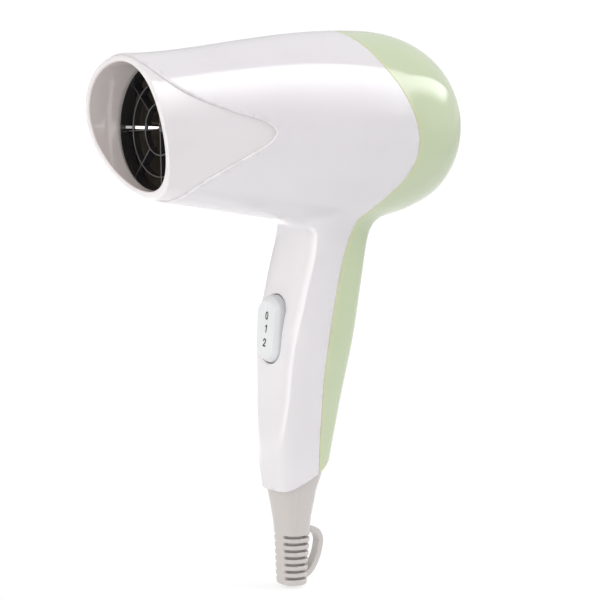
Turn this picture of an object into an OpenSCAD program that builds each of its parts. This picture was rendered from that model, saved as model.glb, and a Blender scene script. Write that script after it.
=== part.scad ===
// Compact hair dryer: a tapered barrel on a forward-leaning grip, built as separate pieces.
// Frame: the origin is the centre of the air outlet, +X runs back along the barrel and +Z is up.

/* [Barrel] */
// Outer radius at the mouth
mouth_r = 28.6; // [28.4:0.1:29.2]
// Outer radius at the widest ring
barrel_r = 39; // [38.5:0.1:40]
// Distance of the widest ring behind the origin
widest_x = 108.6; // [107:0.2:110]
// Length of the barrel behind the origin
barrel_l = 154.5; // [153.5:0.5:157]
// Squareness of the rear dome, 2 being an ellipse
dome_n = 2.27; // [2.1:0.01:2.5]
// Wall of the two casings
wall = 2.2; // [1.8:0.1:2.4]
// Lean of the mouth, top forward, in degrees
mouth_lean = 15; // [12:1:20]
// Depth of the step round the nozzle collar
collar_step = 0.9; // [0.6:0.1:1.2]

/* [Grip] */
// Squareness of the grip's section, 2 being an ellipse
grip_n = 3; // [2.2:0.1:3.5]
// Length of the rocker
rocker_l = 27.6; // [26:0.1:28]
// Width of the rocker
rocker_w = 13.4; // [12.8:0.1:13.6]
// Travel of the rocker from one end to the other, in degrees
rocker_travel = 11; // [8:1:11]

/* [Air outlet] */
// Bore of the air outlet
outlet_r = 24.5; // [24.3:0.1:24.7]
// Distance of the black outlet grille behind the origin
grille_x = 13; // [12.5:0.5:14]
// Number of spokes in the outlet grille
grille_spokes = 8; // [6:1:10]

/* [Fan and motor] */
// Radius of the fan over its blades
fan_r = 28.6; // [27:0.1:28.8]
// Number of fan blades
fan_blades = 7; // [5:1:9]
// Radius of the motor can
motor_r = 13.85; // [13:0.05:14]
// Radius of the motor shaft
shaft_r = 1; // [0.8:0.1:1.2]

/* [Strain relief] */
// Bore for the mains lead
cord_r = 3.2; // [2.8:0.1:3.4]
// Number of slots down each side
boot_slots = 7; // [5:1:7]

/* [Hidden] */
$fn = 64;

far = 200;                 // past the object on every side
fit = 0.05;                // radial clearance of a running or sliding fit
front_x = -9;              // forward end of the barrel's blank, before the mouth is cut
mouth_bow = 0.006;         // bow of the mouth, per mm of height squared
mouth_set = -1;            // middle of the mouth
cup_r = 25.2;              // counterbore behind the air outlet, round the grille's nose
grille_turn = 7;           // turn of the outlet grille about its axis, in degrees
flange_r = 26.2;           // bore behind that, round the grille's flange
collar_back_x = 52;        // rear end of the collar inside the front casing
dome_l = barrel_l - widest_x;

// Grip sections, lowest first: [z, x of the centre, half depth, half width]
grip_rows = [
    [-151, 89.6, 11.6, 9], [-147, 89.2, 12.1, 9.6], [-128, 88.6, 14.4, 12.2], [-106, 89.5, 15.9, 14.8],
    [-84, 91.1, 17.9, 16.3], [-62, 94.1, 17.3, 16.5], [-44, 97, 16.6, 16.3], [-35, 98, 18.6, 17.4],
    [-22, 98.5, 23, 20]
];
// Boot sections, lowest first, in the same form
boot_rows = [
    [-187.6, 91.9, 5.2, 5.2], [-186.6, 91.8, 5.9, 5.9], [-183, 91.5, 6.1, 6.1], [-166, 90.6, 7, 6.9],
    [-159, 90, 7.7, 7.4], [-151, 89.6, 9.4, 8.2], [-147, 89.3, 10.4, 8.7], [-140, 89.2, 12.3, 10.2],
    [-133, 88.8, 13.4, 11.2]
];
boot_n = 2.4;              // squareness of the boot's section
boot_tilt = 3.6;           // lean of the lead's bore, lower end to the rear
boot_foot = [91.9, 0, -187.6];
slot_pitch = 2.9;
slot_h = 1.2;
slot_top_z = -166.9;

// Side outlines as points [x, z] for a smooth curve
seam_line = [
    [91, 46], [97, 36.5], [101, 27], [107, 16], [112, 3], [113.2, -7], [110.5, -17], [104.5, -27],
    [99.6, -39], [95, -54], [91.6, -75], [90, -98], [91.4, -122], [93.6, -140], [95, -160]
];
tongue_line = [
    [-2.6, 33], [-2.4, 28.6], [-1.6, 25.2], [2.8, 20.2], [12, 14], [28, 8.4], [40, 5.2], [45.4, 2.4],
    [46.2, 0], [43.5, -3.6], [30.5, -12], [21.5, -19], [17.6, -25], [16.8, -31], [17.5, -38]
];
grip_foot = [[66, -147.6], [78, -147.2], [86, -144.3], [93.7, -140.2], [99, -136], [108, -127]];
hang_loop = [
    [92.5, -163.6], [97.5, -164.5], [101.4, -166.2], [103.3, -169.2], [103.3, -172.2], [102.3, -176.8],
    [99.6, -181.9], [95.5, -184.9], [92.5, -185.8]
];
loop_band = 2.2;           // thickness of the hanging loop
loop_wide = 4;             // its width across the object

// Switch: the rocker turns on a pin across the object
pivot = [76.6, 0, -81.1];
rocker_face_x = 70.4;
rocker_skirt_x = 74.2;
rocker_back_x = 77.2;
switch_x = 80.4;           // front face of the switch body
switch_back_x = 91.5;
switch_ear_x = 85;         // front face of its screw ears
tooth_x = 84;              // middle of the round tooth that moves the slider
tooth_r = 1.1;
lever_t = 1.5;             // thickness of the lever that carries the tooth
slider_x = 83;             // front face of the slider
pin_r = 1.3;               // pin that the rocker turns on
screw_recess_r = 3.5;      // recess round the head of a casing screw

// Stations along the barrel, front to rear
liner_x = [18.9, 83];      // mica liner
board_x = [26, 78];        // heater boards
coil_r = 20.4;             // radius of the heating helix
coil_wire = 1.3;           // radius of the wound element
coil_turns = 5;
coil_pitch = 8.4;
coil_start_x = 31;
motor_x = [74, 105];       // can, front to rear
fan_x = [110, 122];
housing_x = [84, 126];
housing_r = 29.4;          // bore of the fan housing
liner_r = 24.9;            // bore of the mica liner
liner_t = 0.4;
board_t = 0.6;
inlet_r = 28;              // opening for the inlet grille
casing_screw_z = [-54, -112];
switch_screw_z = [-62.5, -99.5];
clamp_z = -126;
clamp_screw_y = 6.1;

// ---- curves and solids that several pieces share ----

// Smooth curve through points of any dimension, with n steps between each two
function curve(p, n) = [
    for (i = [0 : len(p) - 2], k = [0 : n - 1])
        let (t = k / n, a = p[max(i - 1, 0)], b = p[i], c = p[i + 1], d = p[min(i + 2, len(p) - 1)])
        (2 * b + (c - a) * t + (2 * a - 5 * b + 4 * c - d) * t * t
            + (3 * b - a - 3 * c + d) * t * t * t) / 2,
    p[len(p) - 1]
];

// Radius of the barrel in front of its widest ring
function taper_r(x) = x < 0 ? mouth_r + 0.04 * x
    : mouth_r + (barrel_r - mouth_r) * (1 - pow(1 - pow(x / widest_x, 1.61), 2.14));

// The barrel's outline as [radius, x], moved in by an inset, from front to rear
function barrel_side(inset) = concat(
    [for (x = [front_x, -4, 0, each [8 : 8 : 104]]) [taper_r(x) - inset, x]],
    [for (a = [0 : 7.5 : 90])
        [(barrel_r - inset) * pow(max(cos(a), 0), 2 / dome_n),
         widest_x + (dome_l - inset) * pow(sin(a), 2 / dome_n)]]
);
// The taper alone between two stations
function taper_side(x0, x1, inset, n = 10) =
    [for (i = [0 : n]) let (x = x0 + (x1 - x0) * i / n) [taper_r(x) - inset, x]];
function reverse(p) = [for (i = [len(p) - 1 : -1 : 0]) p[i]];

// Turns an outline of [radius, x] round the barrel's axis
module about_x(outline) rotate([0, 90, 0]) rotate_extrude() polygon(outline);
module about_x_tube(r, x, t) about_x([[r, x[0]], [r + t, x[0]], [r + t, x[1]], [r, x[1]]]);
module rod_x(r, x0, x1, y = 0, z = 0) translate([x0, y, z]) rotate([0, 90, 0]) cylinder(r = r, h = x1 - x0);
module rod_y(r, y0, y1, x, z) translate([x, y1, z]) rotate([90, 0, 0]) cylinder(r = r, h = y1 - y0);

// A prism across the object with a side outline of [x, z]
module side_prism(outline, w = 2 * far) rotate([90, 0, 0]) linear_extrude(w, center = true) polygon(outline);

// One ring of a loft, from a row [z, x of the centre, half depth, half width]
function oval(row, inset, n, sides = 36) = [
    for (k = [0 : sides - 1])
        let (a = 360 * k / sides, c = cos(a), s = sin(a))
        [row[1] + (row[2] - inset) * sign(c) * pow(abs(c), 2 / n),
         (row[3] - inset) * sign(s) * pow(abs(s), 2 / n), row[0]]
];

// A closed solid through rings of the same number of points, lowest ring first
module loft(rings) {
    n = len(rings[0]);
    top = (len(rings) - 1) * n;
    polyhedron(
        points = [for (r = rings) each r],
        faces = concat(
            [[for (k = [0 : n - 1]) k], [for (k = [n - 1 : -1 : 0]) top + k]],
            [for (i = [0 : len(rings) - 2], k = [0 : n - 1])
                let (a = i * n + k, b = i * n + (k + 1) % n)
                each [[a, a + n, b + n], [a, b + n, b]]]
        )
    );
}

// A round tube along points; its rings stay square to the path
function unit(v) = v / norm(v);
function tube_ring(p, i, r, sides) =
    let (t = unit(p[min(i + 1, len(p) - 1)] - p[max(i - 1, 0)]),
         u = unit(cross(t, abs(t[0]) > 0.9 ? [0, 0, 1] : [1, 0, 0])), v = cross(t, u))
    [for (k = [0 : sides - 1]) p[i] + r * (cos(360 * k / sides) * u + sin(360 * k / sides) * v)];
module tube(p, r, sides = 8) loft([for (i = [len(p) - 1 : -1 : 0]) tube_ring(p, i, r, sides)]);

// A slot with round ends standing on its end, across the grip's front
module stadium(l, w) hull() for (s = [-1, 1]) translate([0, s * (l - w) / 2]) circle(d = w, $fn = 32);
module facing_front(x) translate([x, 0, pivot[2]]) rotate([90, 0, 90]) children();

// ---- casings ----

module grip_solid(inset, low = 0)
    loft([for (row = curve(grip_rows, 2)) oval(row + [low, 0, 0, 0], inset, grip_n)]);
module casing_solid(inset) {
    about_x(concat([[0, front_x]], barrel_side(inset)));
    grip_solid(inset);
}
module front_half() side_prism(concat(curve(seam_line, 3), [[-far, -160], [-far, 46]]));
module collar_zone(gap = 0) side_prism(
    concat([for (p = curve(tongue_line, 3)) p + [gap, 0]], [[-40, -38], [-40, 33]]));
module below_grip(drop = 0) side_prism(
    concat([for (p = curve(grip_foot, 3)) p - [0, drop]], [[108, -far], [66, -far]]));

// Everything in front of the leaning, slightly bowed mouth
module before_mouth() side_prism(concat(
    [for (z = [-42 : 6 : 42]) [mouth_set - z * tan(mouth_lean) + mouth_bow * z * z, z]],
    [[-60, 42], [-60, -42]]));

module casing_wall() difference() {
    casing_solid(0);
    about_x(concat([[0, front_x - 1], [mouth_r - wall, front_x - 1]], barrel_side(wall)));
    grip_solid(wall, -0.5);
    below_grip();
}

module front_casing() color("white") {
    difference() {
        intersection() { casing_wall(); front_half(); }
        collar_zone();
        before_mouth();
        facing_front(60) linear_extrude(20) stadium(rocker_l + 1, rocker_w + 0.6);
    }
    for (z = switch_screw_z) boss(1, switch_boss_root(z), switch_ear_x, z, 3);
    boss(1.2, z_front(casing_screw_z[0]), 92, casing_screw_z[0], 3.6);
    boss(1.2, z_front(casing_screw_z[1]), 88.5, casing_screw_z[1], 3.6);
    clamp_saddle();
}
// Where a boss starts, inside the grip's front wall, and how far forward a switch screw reaches
function z_front(z) = z > -80 ? 79.7 : 75;
function switch_screw_tip(z) = z > -80 ? 79.4 : 77.4;
function switch_boss_root(z) = z > -80 ? 78 : 75;
module boss(pilot, x0, x1, z, r) difference() {
    rod_x(r, x0, x1, 0, z);
    rod_x(pilot, x1 - 8, x1 + 1, 0, z);
}
module clamp_saddle() difference() {
    translate([77.6, -8.6, clamp_z - 3]) cube([boot_axis_x(clamp_z) - 0.3 - 77.6, 17.2, 6]);
    cord_bore(-150, -100);
    for (s = [-1, 1]) rod_x(0.9, 82, 92, s * clamp_screw_y, clamp_z);
}
function boot_axis_x(z) = boot_foot[0] - (z - boot_foot[2]) * tan(boot_tilt);
module cord_bore(z0, z1) translate([boot_axis_x(z0), 0, z0]) rotate([0, -boot_tilt, 0])
    cylinder(r = cord_r, h = (z1 - z0) / cos(boot_tilt));

module rear_casing() color([0.78, 0.83, 0.70]) {
    difference() {
        casing_wall();
        front_half();
        rod_x(inlet_r, 130, 170);
        for (z = casing_screw_z) rod_x(screw_recess_r, screw_seat_x(z), 130, 0, z);
    }
    for (z = casing_screw_z) difference() {
        rod_x(screw_recess_r + 1.1, screw_seat_x(z) - 6, grip_back_x(z), 0, z);
        rod_x(screw_recess_r, screw_seat_x(z), 130, 0, z);
        rod_x(1.7, 80, 130, 0, z);
    }
}
// Rear inner face of the grip at a casing screw, and where the screw's head sits
function grip_back_x(z) = z > -80 ? 111 : 103.6;
function screw_seat_x(z) = grip_back_x(z) - 6;

module nozzle_collar() color("white") difference() {
    union() {
        about_x(concat(
            [[outlet_r, front_x], [outlet_r, grille_x], [cup_r, grille_x], [cup_r, grille_x + 4.5]],
            taper_side(grille_x + 4.6, collar_back_x, wall + 1.1),
            reverse(taper_side(front_x, collar_back_x, wall + fit))));
        intersection() {
            about_x(concat(taper_side(front_x, collar_back_x - 2, wall + 0.6),
                reverse(taper_side(front_x, collar_back_x - 2, collar_step))));
            collar_zone(-0.1);
        }
    }
    before_mouth();
}

// ---- air path ----

module outlet_grille() color("#1b1a1c") rotate([-grille_turn, 0, 0]) {
    spoke_x = grille_x + 4;
    hub_r = 4;
    rib = 0.9;
    seat_r = liner_r + liner_t + fit;
    about_x([[outlet_r - 0.6, grille_x], [cup_r - 0.1, grille_x], [cup_r - 0.1, spoke_x + 1],
        [flange_r, spoke_x + 1], [flange_r, board_x[0]], [seat_r, board_x[0]], [seat_r, spoke_x + 1.8],
        [outlet_r - 0.6, spoke_x + 1.8]]);
    // Every second spoke stops at the inner ring
    for (i = [0 : grille_spokes - 1])
        let (r = i % 2 == 0 ? hub_r - 0.5 : 11)
        rotate([360 * i / grille_spokes, 0, 0])
        translate([spoke_x, -rib / 2, r]) cube([3.6, rib, outlet_r - 0.2 - r]);
    rod_x(hub_r, spoke_x, spoke_x + 3.6);
    for (r = [11, 19.5]) about_x_tube(r - rib / 2, [spoke_x, spoke_x + 2.6], rib);
}

module inlet_grille() color([0.78, 0.83, 0.70]) difference() {
    union() {
        about_x(concat([[0, barrel_l - 2]], reverse(grille_side(2)), grille_side(0), [[0, barrel_l]]));
        about_x_tube(26.9, [138.5, 143], 1);
    }
    for (i = [0 : 4], a = [0 : 30 : 359]) rotate([a + 15 * (i % 2), 0, 0]) rotate([0, 90, 0])
        rotate_extrude(angle = 30 - slot_gap_deg / slot_in_r(i))
        translate([slot_in_r(i), 130]) square([2.4, 40]);
}
// Inner radius of a ring of slots, and the degrees between two slots at a radius of 1 mm
function slot_in_r(i) = 5 + 4.6 * i;
slot_gap_deg = 95;
// The dome's outline inside the inlet opening, from the rim to the axis
function grille_side(inset) = [
    for (r = [inlet_r - fit, 26.4, 22.3, 17.7, 13.1, 8.5, 4.2])
        [r, widest_x + (dome_l - inset) * pow(1 - pow(r / barrel_r, dome_n), 1 / dome_n)]
];

module lint_filter() color("silver") {
    about_x_tube(25.6, [139.6, 141], 1.2);
    intersection() {
        rod_x(25.8, 139, 142);
        for (i = [-5 : 5]) {
            translate([140, i * 4.5 - 0.2, -30]) cube([0.4, 0.4, 60]);
            translate([140.2, -30, i * 4.5 - 0.2]) cube([0.4, 60, 0.4]);
        }
    }
}

module mica_liner() color([0.80, 0.76, 0.66]) about_x_tube(liner_r, liner_x, liner_t);

// A heater board lies in the plane of X and Y, notched where the helix crosses its edges
module heater_board(half) color([0.90, 0.88, 0.82]) difference() {
    translate([board_x[0], -liner_r + 0.1, -board_t / 2])
        cube([board_x[1] - board_x[0], 2 * liner_r - 0.2, board_t]);
    for (i = [0 : coil_turns], s = [0, 1])
        let (x = coil_start_x + coil_pitch * (i + s / 2 + (half == "upright" ? 0.25 : 0)))
        translate([x - coil_wire - 0.4, s == 0 ? coil_r - 2 : -far, -1])
            cube([2 * coil_wire + 0.8, far - coil_r + 2, 2]);
    translate([half == "upright" ? 0 : 52, -board_t / 2 - fit, -1]) cube([52, board_t + 2 * fit, 2]);
    translate([64, -motor_r - 0.5, -1]) cube([20, 2 * motor_r + 1, 2]);
}
module heater_board_upright() rotate([90, 0, 0]) heater_board("upright");
module heater_board_level() difference() {
    heater_board("level");
    coil_rivets();
}

module heating_coils() color("#8d8a86") tube([
    for (a = [0 : 15 : 360 * coil_turns - 90])
        [coil_start_x + coil_pitch * a / 360, coil_r * cos(a), coil_r * sin(a)]
], coil_wire, 6);

module coil_rivets() color("goldenrod") for (s = [-1, 1], x = [66, 71])
    translate([x, s * 16.8, -1.1]) cylinder(r = 1.2, h = 2.2);

module thermostat() color("lightgrey") {
    translate([42, 4, board_t / 2]) cube([13, 7, 1.2]);
    translate([44, 5, board_t / 2 + 1.2]) cube([9, 5, 2.4]);
}
module thermal_fuse() color("tan") {
    rod_x(1.7, 42, 52, -8, board_t / 2 + 1.7);
    rod_x(0.4, 36, 42, -8, board_t / 2 + 1.7);
    rod_x(0.4, 52, 58, -8, board_t / 2 + 1.7);
}

module fan_housing() color("ivory") {
    difference() {
        union() {
            about_x([[liner_r + 0.5, housing_x[0]], [liner_r + 2, housing_x[0]], [housing_r + 1.5, 96],
                [housing_r + 1.5, 117], [35.7, 117], [35.7, 119], [housing_r + 1.5, 119],
                [housing_r + 1.5, housing_x[1]], [housing_r, housing_x[1]], [housing_r, 96],
                [liner_r + 0.5, housing_x[0] + 1]]);
            about_x([[motor_r + fit, 92], [motor_r + 1.4, 92], [motor_r + 1.4, 107], [3.4, 107],
                [3.4, motor_x[1] + fit], [motor_r + fit, motor_x[1] + fit]]);
            for (i = [0 : 8]) rotate([i * 40, 0, 0])
                translate([94, 0, motor_r + 1]) rotate([0, 0, -24])
                cube([11, 1.2, housing_r - motor_r]);
        }
        for (s = [-1, 1]) rod_x(1.4, 100, 110, s * 8);
        translate([116, -5, -40]) cube([4, 10, 8]);
    }
}

// ---- motor and fan ----

module motor_can() color("silver") difference() {
    rod_x(motor_r, motor_x[0], motor_x[1]);
    rod_x(motor_r - 1, motor_x[0] - 1, motor_x[1] - 1.2);
    rod_x(3, 100, 110);
    for (s = [-1, 1]) rod_x(1.2, 100, 110, s * 8);
}
module motor_end_cap() color("#3a3a3c") difference() {
    union() {
        rod_x(motor_r, motor_x[0] - 2, motor_x[0]);
        rod_x(motor_r - 1 - fit, motor_x[0], motor_x[0] + 4);
    }
    rod_x(11.6, motor_x[0], motor_x[0] + 5);
    rod_x(3, 70, 80);
}
module motor_magnets() color("#4a4a4e") intersection() {
    difference() {
        rod_x(motor_r - 1 - fit, 81, 102);
        rod_x(10.6, 80, 103);
    }
    for (s = [-1, 1]) translate([80, -far / 2, s > 0 ? 5 : -20]) cube([23, far, 15]);
}
module motor_bushes() color("darkgoldenrod")
    for (x = [[motor_x[0] - 2, motor_x[0] + 2], [motor_x[1] - 3, motor_x[1]]])
        about_x_tube(shaft_r + fit, x, 3 - shaft_r - fit);
module motor_brushes() color("#5a4a3a") for (s = [-1, 1])
    translate([motor_x[0] + 2.4, s > 0 ? 3.7 : -9, -1]) cube([1.5, 5.3, 2]);

module motor_shaft() color("lightgrey") rod_x(shaft_r, motor_x[0] - 1, fan_x[1] - 1);
module motor_armature() color("#a9562c") difference() {
    rod_x(10, 82, 99);
    rod_x(shaft_r, 80, 101);
    for (a = [0 : 72 : 359]) rotate([a, 0, 0]) {
        translate([80, -0.8, 6.5]) cube([21, 1.6, 6]);
        rod_x(2, 80, 101, 0, 6.2);
    }
}
module motor_commutator() color("peru") difference() {
    rod_x(3.4, motor_x[0] + 2.3, 81.6);
    rod_x(shaft_r, 70, 84);
}
module motor_screws() color("silver") for (s = [-1, 1]) {
    rod_x(1.1, 103, 107.2, s * 8);
    rod_x(2.1, 107.1, 108.4, s * 8);
}

module fan_impeller() color([0.85, 0.85, 0.82]) {
    difference() {
        about_x([[0, 109.4], [8.6, 109.4], [9.4, 110.2], [9.4, fan_x[1] - 2], [7, fan_x[1]], [0, fan_x[1]]]);
        rod_x(7.6, 108, 114);
        rod_x(shaft_r, 108, fan_x[1] - 1);
    }
    intersection() {
        rod_x(fan_r, fan_x[0], fan_x[1]);
        union() for (i = [0 : fan_blades - 1]) rotate([i * 360 / fan_blades, 0, 0])
            translate([(fan_x[0] + fan_x[1]) / 2, 0, 0]) loft([for (r = [8.6, 16, 23, 30]) blade_ring(r)]);
    }
}

// A blade's section at a radius: a flat strip whose pitch eases towards the tip
function blade_ring(r) =
    let (pitch = 48 - 0.95 * r, u = [cos(pitch), sin(pitch)], v = [-sin(pitch), cos(pitch)])
    [for (c = [[8.5, 0.6], [-8.5, 0.6], [-8.5, -0.6], [8.5, -0.6]]) [each c[0] * u + c[1] * v, r]];

// ---- electrics ----

module rectifier_board() color("#b89b5a") difference() {
    rod_x(12, 69, 70.4);
    rod_x(2.4, 68, 71);
}
module rectifier_diodes() color("#222222") for (i = [0 : 3]) rotate([i * 90 + 45, 0, 0])
    translate([66.4, -2.4, 7]) cube([2.6, 4.8, 2.4]);
module suppressor_capacitor() color("#2f5f9e") translate([65.2, -2.2, -11]) cube([3.8, 4.4, 3.4]);

// ---- switch ----

module rocker() color([0.93, 0.94, 0.95]) {
    difference() {
        hull() {
            facing_front(rocker_skirt_x) linear_extrude(rocker_back_x - rocker_skirt_x)
                stadium(rocker_l, rocker_w);
            facing_front(rocker_face_x) linear_extrude(0.1) stadium(rocker_l - 5, rocker_w - 2.8);
        }
        facing_front(rocker_face_x + 2) linear_extrude(20) stadium(rocker_l - 8, rocker_w - 5);
    }
    rod_y(pin_r, -5, 5, pivot[0], pivot[2]);
    // The lever that moves the slider, with a round tooth at its end
    difference() {
        translate([rocker_face_x + 1.6, -4.9, pivot[2] - lever_t / 2])
            cube([tooth_x - rocker_face_x - 1.6, 1.4, lever_t]);
        rod_y(pin_r - 0.05, -5, -3, pivot[0], pivot[2]);
    }
    rod_y(tooth_r, -4.9, -3.5, tooth_x, pivot[2]);
}

module switch_body() color("#2b2b2e") {
    difference() {
        union() {
            translate([switch_x, -6.8, -92]) cube([switch_back_x - switch_x, 13.6, 22]);
            translate([switch_ear_x, -3.2, switch_screw_z[1] - 3]) cube([1.8, 6.4, 43]);
            translate([pivot[0], -2.6, pivot[2] - 2.3]) cube([switch_x - pivot[0] + 1, 5.2, 4.6]);
            rod_y(2.3, -2.6, 2.6, pivot[0], pivot[2]);
        }
        rod_y(pin_r + fit, -4, 4, pivot[0], pivot[2]);
        translate([switch_x - 1, -5.7, -88.5]) cube([7.4, 2.6, 14.5]);
        for (z = switch_screw_z) rod_x(1.2, switch_ear_x - 1, switch_ear_x + 3, 0, z);
    }
}
module switch_slider() color("wheat") difference() {
    translate([slider_x, -5.5, pivot[2] - 5.3]) cube([86.5 - slider_x, 2.2, 10.6]);
    translate([slider_x - 1, -6, pivot[2] - tooth_r - 0.2])
        cube([tooth_x + 2.4 - slider_x, 4, 2 * tooth_r + 0.4]);
}
module switch_terminals() color("goldenrod") for (z = [-87, -81, -75])
    translate([switch_back_x, -2.4, z - 0.4]) cube([5, 4.8, 0.8]);
module switch_screws() color("silver") for (z = switch_screw_z) {
    rod_x(1, switch_screw_tip(z), switch_ear_x + 2, 0, z);
    rod_x(2, switch_ear_x + 1.8, switch_ear_x + 3, 0, z);
}

// ---- lead entry and fasteners ----

// Leads from the switch up to the heater and from the clamp up to the switch
wire_up = [
    [96, -75], [99, -68], [100, -58], [98, -47], [92, -38.5], [86.5, -33.6], [82.5, -31], [81, -27.4]
];
wire_down = [[97.2, -87], [99, -95], [96, -108], [96.5, -118]];
module inner_wires() color("#7a2e2e")
    for (route = [wire_up, wire_down], y = [-6.2, 6.2])
        tube(curve([for (p = route) [p[0], y, p[1]]], 3), 0.9);

module cord_clamp() color("#d8d4cc") difference() {
    translate([boot_axis_x(clamp_z) + 0.3, -8.4, clamp_z - 2.6]) cube([4.6, 16.8, 5.2]);
    cord_bore(-150, -100);
    for (s = [-1, 1]) rod_x(1.2, 80, 100, s * clamp_screw_y, clamp_z);
}
module clamp_screws() color("silver") for (s = [-1, 1]) {
    rod_x(0.9, 83, boot_axis_x(clamp_z) + 5, s * clamp_screw_y, clamp_z);
    rod_x(1.9, boot_axis_x(clamp_z) + 4.9, boot_axis_x(clamp_z) + 6.2, s * clamp_screw_y, clamp_z);
}
module casing_screws() color("silver") for (z = casing_screw_z) difference() {
    union() {
        rod_x(1.2, screw_seat_x(z) - 16, screw_seat_x(z), 0, z);
        rod_x(3, screw_seat_x(z), screw_seat_x(z) + 2, 0, z);
    }
    translate([screw_seat_x(z) + 1, -2.2, z - 0.4]) cube([2, 4.4, 0.8]);
    translate([screw_seat_x(z) + 1, -0.4, z - 2.2]) cube([2, 0.8, 4.4]);
}

module boot_solid(inset) loft([for (row = curve(boot_rows, 2)) oval(row, inset, boot_n, 32)]);
module strain_relief() color([0.82, 0.80, 0.78]) difference() {
    union() {
        intersection() { boot_solid(0); below_grip(0.15); }
        intersection() {
            boot_solid(2.6);
            translate([60, -20, -160]) cube([60, 40, 27]);
        }
        side_loop();
    }
    cord_bore(-190, -130);
    for (i = [0 : boot_slots - 1]) boot_slot(slot_top_z - slot_pitch * i, 5.3 - 0.14 * i);
}
// A pair of slots, one down each side, that stop short of the boot's core
module boot_slot(z, core_r) difference() {
    for (s = [-1, 1]) translate([80, s * 7.6 - 5, z - slot_h / 2]) cube([24, 10, slot_h]);
    translate([boot_axis_x(z), 0, z - 1]) cylinder(r = core_r, h = 2);
}
// The hanging loop, a flat band bowed out behind the boot
module side_loop() difference() {
    side_prism(loop_edge(loop_band / 2), loop_wide);
    side_prism(loop_edge(-loop_band / 2), 2 * far);
}
function loop_edge(out) = let (c = curve(hang_loop, 3)) [
    for (i = [0 : len(c) - 1])
        let (t = unit(c[min(i + 1, len(c) - 1)] - c[max(i - 1, 0)])) c[i] + out * [-t[1], t[0]]
];

front_casing();
rear_casing();
nozzle_collar();
outlet_grille();
inlet_grille();
lint_filter();
mica_liner();
heater_board_upright();
heater_board_level();
heating_coils();
coil_rivets();
thermostat();
thermal_fuse();
fan_housing();
fan_impeller();
motor_can();
motor_end_cap();
motor_magnets();
motor_bushes();
motor_brushes();
motor_shaft();
motor_armature();
motor_commutator();
motor_screws();
rectifier_board();
rectifier_diodes();
suppressor_capacitor();
rocker();
switch_body();
switch_slider();
switch_terminals();
switch_screws();
inner_wires();
cord_clamp();
clamp_screws();
casing_screws();
strain_relief();
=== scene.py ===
"""Detailed looks of the hair dryer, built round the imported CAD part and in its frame.

Shapes are worked out in millimetres with the sizes of the CAD part and become metres in make().
"""
import bmesh
import bpy
import math
import numpy as np
from mathutils import Matrix, Vector


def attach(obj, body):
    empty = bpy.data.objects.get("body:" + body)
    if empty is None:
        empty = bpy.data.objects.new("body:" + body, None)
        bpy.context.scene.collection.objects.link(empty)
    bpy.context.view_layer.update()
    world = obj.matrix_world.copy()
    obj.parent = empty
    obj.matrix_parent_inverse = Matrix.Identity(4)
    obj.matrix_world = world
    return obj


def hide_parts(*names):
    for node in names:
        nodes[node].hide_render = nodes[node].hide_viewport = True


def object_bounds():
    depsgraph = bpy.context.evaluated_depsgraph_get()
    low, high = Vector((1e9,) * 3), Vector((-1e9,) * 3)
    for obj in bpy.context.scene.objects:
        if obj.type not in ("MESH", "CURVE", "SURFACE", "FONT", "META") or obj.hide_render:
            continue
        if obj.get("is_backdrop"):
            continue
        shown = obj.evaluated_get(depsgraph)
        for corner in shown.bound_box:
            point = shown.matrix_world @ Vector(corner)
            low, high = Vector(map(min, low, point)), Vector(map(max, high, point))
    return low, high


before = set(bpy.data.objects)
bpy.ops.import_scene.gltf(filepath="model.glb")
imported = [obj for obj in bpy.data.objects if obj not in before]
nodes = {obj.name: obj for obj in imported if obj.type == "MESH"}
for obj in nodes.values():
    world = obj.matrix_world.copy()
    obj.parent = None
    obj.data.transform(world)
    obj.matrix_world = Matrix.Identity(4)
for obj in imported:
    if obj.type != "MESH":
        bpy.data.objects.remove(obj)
cad_low, cad_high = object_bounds()
MM = 0.001

# ---- sizes of the CAD part, in mm ----
MOUTH_R, BARREL_R, WIDEST_X, BARREL_L, DOME_N = 28.2, 39.0, 108.6, 154.5, 2.27
DOME_L = BARREL_L - WIDEST_X
WALL = 2.2
BORE_R, BORE_DRAFT = 24.5, 0.25
MOUTH_LEAN, MOUTH_BOW, MOUTH_SET = math.tan(math.radians(15)), 0.006, -0.9
COLLAR_STEP, COLLAR_LAP = 0.9, 1.2     # how far the tongue is sunk, and how thick its hidden edge is
GRILLE_X = 13.0
SEAT_X = GRILLE_X + 0.2                # where the collar's bore meets the grille's duct
# Sections of the grip and the boot as [z, middle x, half depth, half width]
GRIP_ROWS = [
    [-151, 89.6, 11.6, 9], [-147, 89.2, 12.1, 9.6], [-128, 88.6, 14.4, 12.2], [-106, 89.5, 15.9, 14.8],
    [-84, 91.1, 17.9, 16.3], [-62, 94.1, 17.3, 16.5], [-44, 97, 16.6, 16.3], [-35, 98, 18.6, 17.4],
    [-22, 98.5, 23, 20]]
BOOT_ROWS = [
    [-187.6, 91.9, 5.2, 5.2], [-186.6, 91.8, 5.9, 5.9], [-183, 91.5, 6.1, 6.1], [-166, 90.6, 7, 6.9],
    [-159, 90, 7.7, 7.4], [-151, 89.6, 9.4, 8.2], [-147, 89.3, 10.4, 8.7], [-140, 89.2, 12.3, 10.2],
    [-133, 88.8, 13.4, 11.2]]
BOOT_N = 2.4
BOOT_LEAN = math.tan(math.radians(3.6))
CORD_R = 3.2
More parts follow.
